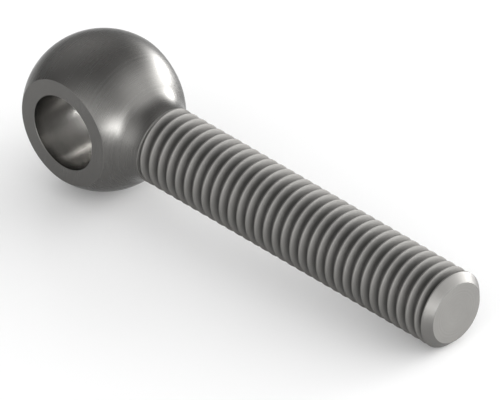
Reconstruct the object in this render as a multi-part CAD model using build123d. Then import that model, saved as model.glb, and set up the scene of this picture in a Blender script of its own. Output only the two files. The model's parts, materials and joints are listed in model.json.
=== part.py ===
from build123d import *
import os

# Swing eye bolt: one piece of steel, a flat-sided ball eye on a round shank. Millimetres.
# The origin is the centre of the eye. The bolt runs along +X to its tip and the bore lies along Y.
# +Z is up: the bolt lies on the side of its ball and on its tip, with its bore level.

SHANK_D = 10.0
BOLT_LENGTH = 60.0  # from the centre of the eye to the tip
BALL_D = 20.0
EYE_WIDTH = 14.0  # across the two flat faces of the eye
BORE_D = 10.0
NECK_RADIUS = 4.0  # concave sweep from the ball into the shank
TIP_CHAMFER = 1.0  # at 45 degrees


def half_profile():
    """Half of the section along the bolt's axis: ball, swept neck, shank and chamfered tip."""
    with BuildSketch(Plane.XY) as section:
        Circle(BALL_D / 2)
        with Locations((BOLT_LENGTH / 2, 0)):
            Rectangle(BOLT_LENGTH, SHANK_D)
        neck_corners = section.vertices().group_by(Axis.X)[-2]
        fillet(neck_corners, NECK_RADIUS)
        tip_corners = section.vertices().group_by(Axis.X)[-1]
        chamfer(tip_corners, TIP_CHAMFER)
        split(bisect_by=Plane.XZ, keep=Keep.TOP)
    return section.sketch


def turned_blank():
    """The profile turned about the bolt's axis."""
    return revolve(half_profile(), axis=Axis.X)


def beside_eye(side):
    """What is milled off one side of the ball, down to the flat face of the eye."""
    block = Box(2 * BALL_D, BALL_D, 2 * BALL_D)
    return Pos(0, side * (EYE_WIDTH + BALL_D) / 2, 0) * block


def eye_bore():
    """The hole for the hinge pin, through both faces of the eye."""
    return Cylinder(BORE_D / 2, 2 * EYE_WIDTH, rotation=(90, 0, 0))


def swing_eye_bolt():
    bolt = turned_blank()
    for side in (-1, 1):
        bolt -= beside_eye(side)
    return bolt - eye_bore()


os.makedirs("parts", exist_ok=True)
export_step(swing_eye_bolt(), "parts/swing_eye_bolt.step")
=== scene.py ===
import json
import math

import bmesh
import bpy
from mathutils import Matrix, Vector


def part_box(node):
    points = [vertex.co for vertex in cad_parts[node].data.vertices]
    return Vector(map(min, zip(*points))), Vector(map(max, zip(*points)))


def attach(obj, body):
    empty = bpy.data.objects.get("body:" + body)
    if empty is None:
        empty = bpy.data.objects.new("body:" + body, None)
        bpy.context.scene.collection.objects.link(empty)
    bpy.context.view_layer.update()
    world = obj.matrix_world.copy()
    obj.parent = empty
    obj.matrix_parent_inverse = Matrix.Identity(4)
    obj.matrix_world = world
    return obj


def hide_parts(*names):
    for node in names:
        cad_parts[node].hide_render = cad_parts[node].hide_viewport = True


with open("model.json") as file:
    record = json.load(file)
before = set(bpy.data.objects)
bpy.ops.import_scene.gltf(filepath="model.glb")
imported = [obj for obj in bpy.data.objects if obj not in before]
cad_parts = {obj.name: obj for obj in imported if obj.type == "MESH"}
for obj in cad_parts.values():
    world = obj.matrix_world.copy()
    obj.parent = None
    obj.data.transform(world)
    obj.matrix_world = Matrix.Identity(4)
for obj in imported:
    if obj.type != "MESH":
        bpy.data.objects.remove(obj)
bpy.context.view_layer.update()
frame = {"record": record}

# Everything is in metres, in the frame of the CAD part: the eye's centre is the origin,
# the bolt runs along +X and its bore lies along Y. It rests on its ball and its thread's end.
MM = 0.001
NODE = "swing_eye_bolt"

low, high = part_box(NODE)
mounts = {mount["name"]: mount for mount in frame["record"]["mounts"]}
thread_dims = mounts["thread"]["dims"]

TIP_X = high.x
BALL_R = -low.x
HALF_WIDTH = high.y
BORE_R = mounts["eye_bore"]["dims"]["r_mm"] * MM
SHANK_R = thread_dims["r_mm"] * MM
TIP_CHAMFER = 1.0 * MM
CHAMFER_X = TIP_X - TIP_CHAMFER
NECK_X = CHAMFER_X - thread_dims["length_mm"] * MM  # where the neck's sweep meets the shank

# Coarse metric thread, with its root rounded as rolling leaves it.
PITCH = 1.5 * MM
FLANK_SLANT = math.radians(30)  # from square to the bolt's axis
THREAD_DEPTH = 0.61343 * PITCH
ROOT_R = 0.14434 * PITCH
CREST_FLAT = PITCH / 8
CREST_R = CREST_FLAT / 2 / math.tan(FLANK_SLANT)  # the crest is worn round over its flat
RUN_OUT = 0.15 * PITCH  # the groove rises out of the shank over this length
CREST_START = 0.557 * PITCH  # from the neck's end to the first crest, at column 0

EDGE_R = 0.06 * MM  # every sharp corner of the eye and the tip is broken by this
EDGE_BEND = EDGE_R * math.tan(math.radians(22.5))  # from a corner of 135 degrees to its curve

# How finely each surface is divided.
AROUND = 128  # points round the bolt's axis, and round the bore's
QUARTER = AROUND // 4
EDGE_STEPS = 4
EYE_FACE_STEPS = 6
BORE_STEPS = 12
NECK_STEPS = 18
BALL_FRONT_STEPS = 10
CREST_STEPS = 4  # from a crest's middle to its flank
FLANK_STEPS = 2
ROOT_STEPS = 3  # from a flank to the root's middle
RUN_OUT_STEPS = 14
CHAMFER_STEPS = 4
TIP_FACE_STEPS = 8

TURNED, MILLED, REAMED, ROLLED, CHAMFERED, FACED, BRIGHT = range(7)


class Skin:
    """The points and faces of one mesh. Each face has the number of its finish."""

    def __init__(self):
        self.points = []
        self.faces = []
        self.face_finishes = []

    def point(self, place):
        self.points.append(place)
        return len(self.points) - 1

    def row(self, places):
        return [self.point(place) for place in places]

    def face(self, corners, finish):
        """A face, without the corners that repeat the one before."""
        kept = [corner for i, corner in enumerate(corners) if corner != corners[i - 1]]
        if len(kept) > 2:
            self.faces.append(kept)
            self.face_finishes.append(finish)

    def bridge(self, one, two, finish, closed=True):
        """The faces between two rows of as many points."""
        for i in range(0 if closed else 1, len(one)):
            self.face((one[i - 1], one[i], two[i], two[i - 1]), finish)

    def object(self, name, materials):
        """The mesh as an object, with its faces turned outwards."""
        mesh = bpy.data.meshes.new(name)
        mesh.from_pydata(self.points, [], self.faces)
        mesh.polygons.foreach_set("material_index", self.face_finishes)
        for material in materials:
            mesh.materials.append(material)
        shape = bmesh.new()
        shape.from_mesh(mesh)
        bmesh.ops.recalc_face_normals(shape, faces=shape.faces)
        shape.to_mesh(mesh)
        shape.free()
        mesh.shade_smooth()
        made = bpy.data.objects.new(name, mesh)
        bpy.context.scene.collection.objects.link(made)
        return made


def spaced(start, end, steps):
    """Values from start to end, both included."""
    return [start + (end - start) * i / steps for i in range(steps + 1)]


def arc(centre, radius, start, end, steps):
    """Points of an arc in a half-plane, from one angle to another, in radians."""
    return [
        (centre[0] + radius * math.cos(a), centre[1] + radius * math.sin(a))
        for a in spaced(start, end, steps)
    ]


def about_bore(radius, depth):
    """A ring about the bore's axis, at a depth along Y. It starts in the shank's direction."""
    turns = [2 * math.pi * i / AROUND for i in range(AROUND)]
    return [Vector((radius * math.cos(a), depth, radius * math.sin(a))) for a in turns]


COLUMN_0_TURN = -3 / 8  # turns from +Y to column 0, which lies at -Y, -Z


def shank_angle(column):
    """The angle of a column of points about the bolt's axis, from +Y."""
    return 2 * math.pi * (column / AROUND + COLUMN_0_TURN)


def about_bolt(x, radius_at):
    """A ring about the bolt's axis. radius_at gives the radius at a column."""
    places = []
    for column in range(AROUND):
        angle = shank_angle(column)
        radius = radius_at(column)
        places.append(Vector((x, radius * math.cos(angle), radius * math.sin(angle))))
    return places


# The eye

RIM_LATITUDE = math.asin((HALF_WIDTH - EDGE_R) / (BALL_R - EDGE_R))


def face_profile():
    """Distance from the bore's axis and depth, from the ball over the flat into the bore."""
    rim_centre = ((BALL_R - EDGE_R) * math.cos(RIM_LATITUDE), HALF_WIDTH - EDGE_R)
    mouth_centre = (BORE_R + EDGE_R, HALF_WIDTH - EDGE_R)
    rim = arc(rim_centre, EDGE_R, RIM_LATITUDE, math.pi / 2, EDGE_STEPS)
    mouth = arc(mouth_centre, EDGE_R, math.pi / 2, math.pi, EDGE_STEPS)
    return rim, mouth


def add_eye_face(skin, side):
    """One flat face of the eye with its broken edges. Returns its outer and its inner ring."""
    rim, mouth = face_profile()
    rows = [skin.row(about_bore(radius, side * depth)) for radius, depth in rim]
    for one, two in zip(rows, rows[1:]):
        skin.bridge(one, two, BRIGHT)
    outer = rows[0]
    previous = rows[-1]
    for radius in spaced(rim[-1][0], mouth[0][0], EYE_FACE_STEPS)[1:-1]:
        ring = skin.row(about_bore(radius, side * HALF_WIDTH))
        skin.bridge(previous, ring, MILLED)
        previous = ring
    for index, (radius, depth) in enumerate(mouth):
        ring = skin.row(about_bore(radius, side * depth))
        skin.bridge(previous, ring, BRIGHT if index else MILLED)
        previous = ring
    return outer, previous


def add_bore(skin, back, front):
    """The wall of the bore between its two mouths."""
    end = HALF_WIDTH - EDGE_R
    previous = back
    for depth in spaced(end, -end, BORE_STEPS)[1:-1]:
        ring = skin.row(about_bore(BORE_R, depth))
        skin.bridge(previous, ring, REAMED)
        previous = ring
    skin.bridge(previous, front, REAMED)


def on_ball(longitude, latitude):
    """A point on the ball. The bore's axis is its pole, and the shank is at longitude 0."""
    flat = BALL_R * math.cos(latitude)
    return Vector(
        (flat * math.cos(longitude), BALL_R * math.sin(latitude), flat * math.sin(longitude))
    )


def add_ball_back(skin, back, front):
    """The ball's three quarters away from the shank. Returns its two columns beside the neck."""
    columns = []
    for step in range(QUARTER // 2, AROUND - QUARTER // 2 + 1):
        longitude = 2 * math.pi * step / AROUND
        inner = [
            skin.point(on_ball(longitude, latitude))
            for latitude in spaced(-RIM_LATITUDE, RIM_LATITUDE, QUARTER)[1:-1]
        ]
        columns.append([front[step], *inner, back[step]])
    for one, two in zip(columns, columns[1:]):
        skin.bridge(one, two, TURNED, closed=False)
    return columns[0], columns[-1]


def neck_sweep():
    """The neck's section, from the ball to the shank: distances along the bolt and from its axis.

    Its centre lies over NECK_X, so that it runs level into the shank, and it touches the ball.
    """
    radius = (NECK_X**2 + SHANK_R**2 - BALL_R**2) / (2 * (BALL_R - SHANK_R))
    centre = (NECK_X, SHANK_R + radius)
    touch = math.atan2(-centre[1], -centre[0])
    return arc(centre, radius, touch, -math.pi / 2, NECK_STEPS)


def quarter_ahead(ring):
    """The part of a ring about the bore that faces the shank."""
    half = QUARTER // 2
    return [ring[i] for i in range(-half, half + 1)]


CROWDING = 0.8  # under 1, the rings of the ball's front lie closer together towards the neck


def add_ball_front(skin, back, front, lower, upper, neck):
    """The ball round the neck, from a square of its grid to the neck's first ring."""
    outer = lower[:-1] + quarter_ahead(back)[:-1] + upper[:0:-1] + quarter_ahead(front)[:0:-1]
    starts = [skin.points[i] for i in outer]
    ends = [skin.points[i] for i in neck]
    previous = outer
    for share in spaced(0, 1, BALL_FRONT_STEPS)[1:-1]:
        eased = share**CROWDING
        places = [a.lerp(b, eased).normalized() * BALL_R for a, b in zip(starts, ends)]
        ring = skin.row(places)
        skin.bridge(previous, ring, TURNED)
        previous = ring
    skin.bridge(previous, neck, TURNED)


def add_neck(skin):
    """The concave neck. Returns its ring on the ball and its ring on the shank."""
    rows = [skin.row(about_bolt(x, lambda column: radius)) for x, radius in neck_sweep()]
    for one, two in zip(rows, rows[1:]):
        skin.bridge(one, two, TURNED)
    return rows[0], rows[-1]


# The thread

ROOT_CENTRE = SHANK_R - THREAD_DEPTH + ROOT_R
ROOT_HALF = ROOT_R * math.cos(FLANK_SLANT)
CREST_HALF = CREST_R * math.cos(FLANK_SLANT)
THREAD_START = NECK_X + RUN_OUT
THREAD_STOP = CHAMFER_X - EDGE_BEND  # where the groove has risen out of the shank
THREAD_END = THREAD_STOP - RUN_OUT
NEAR = 0.02 * MM  # points that lie nearer to a run-out than this become points of it
SPARE_TURNS = 2  # of the helix before the thread's start, where they fall onto its first ring


def groove_radius(offset):
    """The thread's radius at an axial distance from the middle of a crest."""
    u = abs(offset - PITCH * round(offset / PITCH))
    from_root = PITCH / 2 - u
    if from_root < ROOT_HALF:
        return ROOT_CENTRE - math.sqrt(ROOT_R**2 - from_root**2)
    if u < CREST_HALF:
        return SHANK_R - CREST_R + math.sqrt(CREST_R**2 - u**2)
    return SHANK_R - (u - CREST_FLAT / 2) / math.tan(FLANK_SLANT)


def bolt_radius(x, column):
    """The radius of the threaded shank, whose groove rises out of it at both ends."""
    lift = THREAD_DEPTH * max(0.0, (THREAD_START - x) / RUN_OUT, (x - THREAD_END) / RUN_OUT)
    groove = groove_radius(x - NECK_X - CREST_START - PITCH * column / AROUND)
    return min(SHANK_R, groove + lift)


def half_pitch():
    """Axial distances from a crest's middle to a root's, closer together where it curves."""
    crest = spaced(0, CREST_HALF, CREST_STEPS)
    flank = spaced(CREST_HALF, PITCH / 2 - ROOT_HALF, FLANK_STEPS)[1:]
    root = spaced(PITCH / 2 - ROOT_HALF, PITCH / 2, ROOT_STEPS)[1:]
    return crest + flank + root


def add_thread(skin, start, end):
    """The thread between two rings. Its rows of points follow the helix, so its edges are true."""
    half = half_pitch()
    period = half + [PITCH - u for u in half[-2:0:-1]]
    turns = SPARE_TURNS + math.ceil((THREAD_END - THREAD_START) / PITCH)
    offsets = [turn * PITCH + u for turn in range(turns + 1) for u in period]

    columns = []
    for column in range(AROUND):
        angle = shank_angle(column)
        first_crest = NECK_X + CREST_START + PITCH * (column / AROUND - SPARE_TURNS)
        made = []
        for offset in offsets:
            x = first_crest + offset
            if x < THREAD_START + NEAR:
                made.append(start[column])
            elif x > THREAD_END - NEAR:
                made.append(end[column])
            else:
                radius = groove_radius(offset)
                place = (x, radius * math.cos(angle), radius * math.sin(angle))
                made.append(skin.point(Vector(place)))
        columns.append(made)

    per_turn = len(period)
    wrapped = columns[0][per_turn:] + [end[0]] * per_turn
    for one, two in zip(columns, columns[1:] + [wrapped]):
        skin.bridge(one, two, ROLLED, closed=False)


def shank_ring(skin, x):
    """A ring of the threaded shank."""
    return skin.row(about_bolt(x, lambda column: bolt_radius(x, column)))


def add_run_out(skin, first, positions):
    """Rings where the groove rises out of the shank. Returns the last one."""
    previous = first
    for x in positions:
        ring = shank_ring(skin, x)
        skin.bridge(previous, ring, ROLLED)
        previous = ring
    return previous


def add_tip(skin, ring):
    """The chamfer between its broken edges, and the flat end face."""
    face_r = SHANK_R - TIP_CHAMFER - EDGE_BEND
    slant = math.radians(45)
    outer_edge = arc((THREAD_STOP, SHANK_R - EDGE_R), EDGE_R, math.pi / 2, slant, EDGE_STEPS)
    inner_edge = arc((TIP_X - EDGE_R, face_r), EDGE_R, slant, 0, EDGE_STEPS)
    between = spaced(outer_edge[-1][0], inner_edge[0][0], CHAMFER_STEPS)[1:-1]
    chamfer = [(x, SHANK_R - (x - CHAMFER_X)) for x in between]
    for x, radius in outer_edge[1:] + chamfer + inner_edge:
        next_ring = skin.row(about_bolt(x, lambda column: radius))
        skin.bridge(ring, next_ring, CHAMFERED)
        ring = next_ring
    for radius in spaced(face_r, 0.0, TIP_FACE_STEPS)[1:-1]:
        next_ring = skin.row(about_bolt(TIP_X, lambda column: radius))
        skin.bridge(ring, next_ring, FACED)
        ring = next_ring
    middle = skin.point(Vector((TIP_X, 0, 0)))
    skin.bridge(ring, [middle] * AROUND, FACED)


def build_bolt(materials):
    """The whole bolt as one closed mesh, from the eye to the tip."""
    skin = Skin()
    back, bore_back = add_eye_face(skin, 1)
    front, bore_front = add_eye_face(skin, -1)
    add_bore(skin, bore_back, bore_front)
    upper, lower = add_ball_back(skin, back, front)
    neck, shank = add_neck(skin)
    add_ball_front(skin, back, front, lower, upper, neck)

    thread_start = add_run_out(skin, shank, spaced(NECK_X, THREAD_START, RUN_OUT_STEPS)[1:])
    thread_end = shank_ring(skin, THREAD_END)
    add_thread(skin, thread_start, thread_end)
    last = add_run_out(skin, thread_end, spaced(THREAD_END, THREAD_STOP, RUN_OUT_STEPS)[1:])
    add_tip(skin, last)

    bolt = skin.object("bolt", materials)
    bolt.modifiers.new("even_normals", "WEIGHTED_NORMAL").keep_sharp = False
    return bolt


# Finishes. Patterns are worked out in millimetres, from the place on the bolt.

TINT = (1.02, 1.0, 0.96)  # bare steel is a little warm
MARK_SHADE = (0.93, 1.07)  # from the darkest to the brightest tool mark
CLOUD_SHADE = (0.9, 1.1)
CLOUD_SIZE = 3.0
CLOUD_DETAIL = 4.0
MARK_DETAIL = 3.0
GLOSS_SPREAD = 0.03
CUTTER_R = 24.0  # of the face mill
ROOT_PAINTED_SHADE = 0.4  # painted shade: the thread's root is coloured this much darker than its crest
UNSHADED_CREST_DEPTH = 0.1 * THREAD_DEPTH  # the crest keeps its full colour down to here; below, the painted shade deepens to the root


class Graph:
    """The nodes of one material or world."""

    def __init__(self, tree):
        self.nodes = tree.nodes
        self.links = tree.links

    def add(self, kind, **settings):
        node = self.nodes.new(kind)
        for name, value in settings.items():
            setattr(node, name, value)
        return node

    def set(self, socket, value):
        """Gives a socket a value, or a link from another socket."""
        if isinstance(value, bpy.types.NodeSocket):
            self.links.new(value, socket)
        else:
            socket.default_value = value

    def math(self, operation, *values):
        node = self.add("ShaderNodeMath", operation=operation)
        for socket, value in zip(node.inputs, values):
            self.set(socket, value)
        return node.outputs[0]

    def mixed(self, share, one, two):
        """A mix of two shaders, with the share of the second."""
        mix = self.add("ShaderNodeMixShader")
        self.set(mix.inputs[0], share)
        self.set(mix.inputs[1], one.outputs[0])
        self.set(mix.inputs[2], two.outputs[0])
        return mix

    def place(self):
        """X, Y and Z on the bolt, in millimetres."""
        spot = self.add("ShaderNodeTexCoord").outputs["Object"]
        scaled = self.add("ShaderNodeVectorMath", operation="SCALE")
        self.set(scaled.inputs[0], spot)
        scaled.inputs["Scale"].default_value = 1 / MM
        return scaled.outputs[0]

    def split(self, vector):
        node = self.add("ShaderNodeSeparateXYZ")
        self.set(node.inputs[0], vector)
        return node.outputs

    def mottle(self, place, size, detail):
        """Soft clouds of a size in millimetres, from 0 to 1."""
        node = self.add("ShaderNodeTexNoise")
        self.set(node.inputs["Vector"], place)
        node.inputs["Scale"].default_value = 1 / size
        node.inputs["Detail"].default_value = detail
        return node.outputs["Fac"]

    def lines(self, across, width, detail):
        """Tool marks: uneven lines square to a distance in millimetres, from 0 to 1."""
        node = self.add("ShaderNodeTexNoise", noise_dimensions="1D")
        self.set(node.inputs["W"], across)
        node.inputs["Scale"].default_value = 1 / width
        node.inputs["Detail"].default_value = detail
        return node.outputs["Fac"]

    def between(self, amount, start, end):
        """A value that goes from start to end as the amount goes from 0 to 1."""
        return self.math("MULTIPLY_ADD", amount, end - start, start)


def from_bolt_axis(graph, place):
    """Rings on the tip's face, and lines that follow the thread."""
    _, y, z = graph.split(place)
    squares = graph.math("ADD", graph.math("MULTIPLY", y, y), graph.math("MULTIPLY", z, z))
    return graph.math("SQRT", squares)


def along_bolt(graph, place):
    """Rings about the bolt's axis."""
    return graph.split(place)[0]


def along_bore(graph, place):
    """Rings about the bore's axis."""
    return graph.split(place)[1]


def across_milling(graph, place):
    """A face mill that travels along the bolt leaves arcs of its own radius."""
    x, _, z = graph.split(place)
    square = graph.math("SUBTRACT", CUTTER_R**2, graph.math("MULTIPLY", z, z))
    return graph.math("SUBTRACT", x, graph.math("SQRT", square))


def steel(name, across, grey, roughness, mark=0.3, relief=0.0005, edge=0.75, groove_painted_shade=None):
    """Bare steel with tool marks.

    The marks are lines square to the distance that across() gives. mark is their width and relief
    their height, in millimetres. edge is how bright the steel is at a low angle, 1 at most.
    """
    material = bpy.data.materials.new(name)
    material.use_nodes = True
    graph = Graph(material.node_tree)
    shader = graph.nodes["Principled BSDF"]
    shader.inputs["Metallic"].default_value = 1.0
    shader.inputs["Specular Tint"].default_value = (edge, edge, edge, 1)

    place = graph.place()
    distance = across(graph, place)
    marks = graph.lines(distance, mark, MARK_DETAIL)
    clouds = graph.mottle(place, CLOUD_SIZE, CLOUD_DETAIL)
    mark_shade = graph.between(marks, *MARK_SHADE)
    shade = graph.math("MULTIPLY", mark_shade, graph.between(clouds, *CLOUD_SHADE))
    # The thread gets painted shade here, darker towards its roots.
    if groove_painted_shade:
        shade = graph.math("MULTIPLY", shade, groove_painted_shade(graph, distance))
    colour = graph.add("ShaderNodeVectorMath", operation="SCALE")
    colour.inputs[0].default_value = [grey * part for part in TINT]
    graph.set(colour.inputs["Scale"], shade)
    graph.set(shader.inputs["Base Color"], colour.outputs[0])

    mark_gloss = graph.between(marks, -GLOSS_SPREAD, GLOSS_SPREAD)
    cloud_gloss = graph.between(clouds, roughness - GLOSS_SPREAD, roughness + GLOSS_SPREAD)
    graph.set(shader.inputs["Roughness"], graph.math("ADD", mark_gloss, cloud_gloss))

    bump = graph.add("ShaderNodeBump")
    bump.inputs["Strength"].default_value = 1.0
    bump.inputs["Distance"].default_value = relief * MM
    graph.set(bump.inputs["Height"], marks)
    graph.set(shader.inputs["Normal"], bump.outputs[0])
    return material


def thread_painted_shade(graph, radius):
    """Painted shade: the colour darkens from the crests down to the roots."""
    ramp = graph.add("ShaderNodeMapRange")
    graph.set(ramp.inputs["Value"], radius)
    ramp.inputs["From Min"].default_value = (SHANK_R - THREAD_DEPTH) / MM
    ramp.inputs["From Max"].default_value = (SHANK_R - UNSHADED_CREST_DEPTH) / MM
    ramp.inputs["To Min"].default_value = ROOT_PAINTED_SHADE
    ramp.inputs["To Max"].default_value = 1.0
    return ramp.outputs[0]


def finishes():
    """The bolt's steels, in the order of the numbers TURNED to BRIGHT."""
    # The greys differ partly by finish and partly as painted light: each was set so that its surfaces
    # render lighter or darker, the faced tip and the bore lightest, the turned ball darkest.
    return [
        steel("turned_steel", along_bolt, grey=0.12, roughness=0.27),
        steel("milled_steel", across_milling, grey=0.13, roughness=0.26),
        steel("reamed_steel", along_bore, grey=0.3, roughness=0.22, relief=0.001, edge=1.0),
        steel("rolled_steel", from_bolt_axis, grey=0.2, roughness=0.62, edge=0.2, groove_painted_shade=thread_painted_shade),
        steel("chamfered_steel", along_bolt, grey=0.16, roughness=0.46, mark=0.2, edge=0.9),
        steel("faced_steel", from_bolt_axis, grey=0.3, roughness=0.3, mark=0.2, relief=0.0002),
        steel("bright_edge", along_bolt, grey=0.15, roughness=0.4, relief=0.0),
    ]


# Stage, light and camera

# The floor lies under the ball and the thread's end, so it leans against the bolt's axis.
FLOOR_TILT = math.asin(BALL_R / math.hypot(CHAMFER_X, SHANK_R)) - math.atan2(SHANK_R, CHAMFER_X)
FLOOR_UP = Vector((-math.sin(FLOOR_TILT), 0, math.cos(FLOOR_TILT)))
FLOOR_REACH = 3.0
FLOOR_GAP = 0.01 * MM  # keeps the floor just clear of the bolt
FLOOR_GREY = (0.9, 0.9, 0.9, 1)


def floor_material():
    """A pale matt floor with a faint gloss."""
    material = bpy.data.materials.new("floor")
    material.use_nodes = True
    graph = Graph(material.node_tree)
    graph.nodes.clear()
    matt = graph.add("ShaderNodeBsdfDiffuse")
    matt.inputs["Color"].default_value = FLOOR_GREY
    gloss = graph.add("ShaderNodeBsdfGlossy")
    gloss.inputs["Roughness"].default_value = 0.3
    fresnel = graph.add("ShaderNodeFresnel")
    fresnel.inputs["IOR"].default_value = 1.45
    above = graph.mixed(fresnel.outputs[0], matt, gloss)
    # From underneath, the floor lets the bolt be seen.
    backfacing = graph.add("ShaderNodeNewGeometry").outputs["Backfacing"]
    sided = graph.mixed(backfacing, above, graph.add("ShaderNodeBsdfTransparent"))
    output = graph.add("ShaderNodeOutputMaterial")
    graph.set(output.inputs["Surface"], sided.outputs[0])
    return material


def add_floor():
    """The surface that the bolt lies on."""
    mesh = bpy.data.meshes.new("floor")
    far = FLOOR_REACH
    corners = [(-far, -far, 0), (far, -far, 0), (far, far, 0), (-far, far, 0)]
    mesh.from_pydata(corners, [], [(0, 1, 2, 3)])
    mesh.materials.append(floor_material())
    floor = bpy.data.objects.new("floor", mesh)
    bpy.context.scene.collection.objects.link(floor)
    floor.location = -FLOOR_UP * (BALL_R + FLOOR_GAP)
    floor.rotation_euler = (0, -FLOOR_TILT, 0)


def stage_direction(azimuth, elevation):
    """A direction over the floor. Azimuth 0 is towards the bolt's tip, 90 is towards +Y."""
    across = math.radians(azimuth)
    up = math.radians(elevation)
    flat = Vector((math.cos(across), math.sin(across), 0)) * math.cos(up)
    return Matrix.Rotation(-FLOOR_TILT, 3, "Y") @ (flat + Vector((0, 0, math.sin(up))))


# Soft glows of the studio: azimuth, elevation, degrees from its middle to half its strength,
# and strength.
GLOWS = (
    (91, -1, 10, 27.0),
    (74, 6, 16, 9.0),
    (52, 36, 18, 0.9),
    (108, 4, 12, 1.3),
    (331, 0, 12, 12.5),
    (356, 4, 12, 4.0),
    (20, 36, 24, 2.0),
    (35, -2, 9, 25.0),
    (288, 12, 38, 2.1),
    (152, 36, 34, 0.86),
)
AMBIENT = 0.06


def add_world():
    """A dim even studio with soft glows in it."""
    world = bpy.data.worlds.new("studio")
    bpy.context.scene.world = world
    world.use_nodes = True
    graph = Graph(world.node_tree)
    background = graph.nodes["Background"]
    background.inputs["Color"].default_value = (1, 1, 1, 1)
    direction = graph.add("ShaderNodeTexCoord").outputs["Generated"]
    total = AMBIENT
    for azimuth, elevation, width, strength in GLOWS:
        sharpness = math.log(2) / (1 - math.cos(math.radians(width)))
        cosine = graph.add("ShaderNodeVectorMath", operation="DOT_PRODUCT")
        graph.set(cosine.inputs[0], direction)
        cosine.inputs[1].default_value = stage_direction(azimuth, elevation)
        power = graph.math("MULTIPLY_ADD", cosine.outputs["Value"], sharpness, -sharpness)
        glow = graph.math("MULTIPLY", graph.math("EXPONENT", power), strength)
        total = graph.math("ADD", glow, total)
    graph.set(background.inputs["Strength"], total)


# The photograph is an isometric view. AIM is a place on the bolt, and AIM_PIXEL is where it shows.
VIEW = Vector((1, -1, 1)).normalized()  # from the bolt to the camera
PICTURE_RIGHT = Vector((1, 1, 0)).normalized()
PICTURE_UP = VIEW.cross(PICTURE_RIGHT)
LENS = 1000.0  # long, because the photograph has no perspective
SENSOR = 36.0
PICTURE = (500, 400)
PIXELS_PER_MM = 8.292
AIM = Vector((30 * MM, 0, 0))
AIM_PIXEL = (278.34, 210.34)


def add_camera():
    """A camera far away along VIEW, with AIM where AIM_PIXEL says."""
    camera = bpy.data.cameras.new("camera")
    camera.lens = LENS
    camera.sensor_width = SENSOR
    made = bpy.data.objects.new("camera", camera)
    bpy.context.scene.collection.objects.link(made)
    bpy.context.scene.camera = made
    pixel = MM / PIXELS_PER_MM
    distance = LENS / SENSOR * PICTURE[0] * pixel
    across = (PICTURE[0] / 2 - AIM_PIXEL[0]) * pixel
    along = (AIM_PIXEL[1] - PICTURE[1] / 2) * pixel
    place = AIM + VIEW * distance + PICTURE_RIGHT * across + PICTURE_UP * along
    turn = Matrix((PICTURE_RIGHT, PICTURE_UP, VIEW)).transposed()
    made.matrix_world = Matrix.Translation(place) @ turn.to_4x4()
    camera.clip_start = 0.1
    camera.clip_end = 10.0


bolt = build_bolt(finishes())
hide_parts(NODE)
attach(bolt, "root")

add_floor()
add_world()
add_camera()
bpy.context.scene.view_settings.view_transform = "Standard"
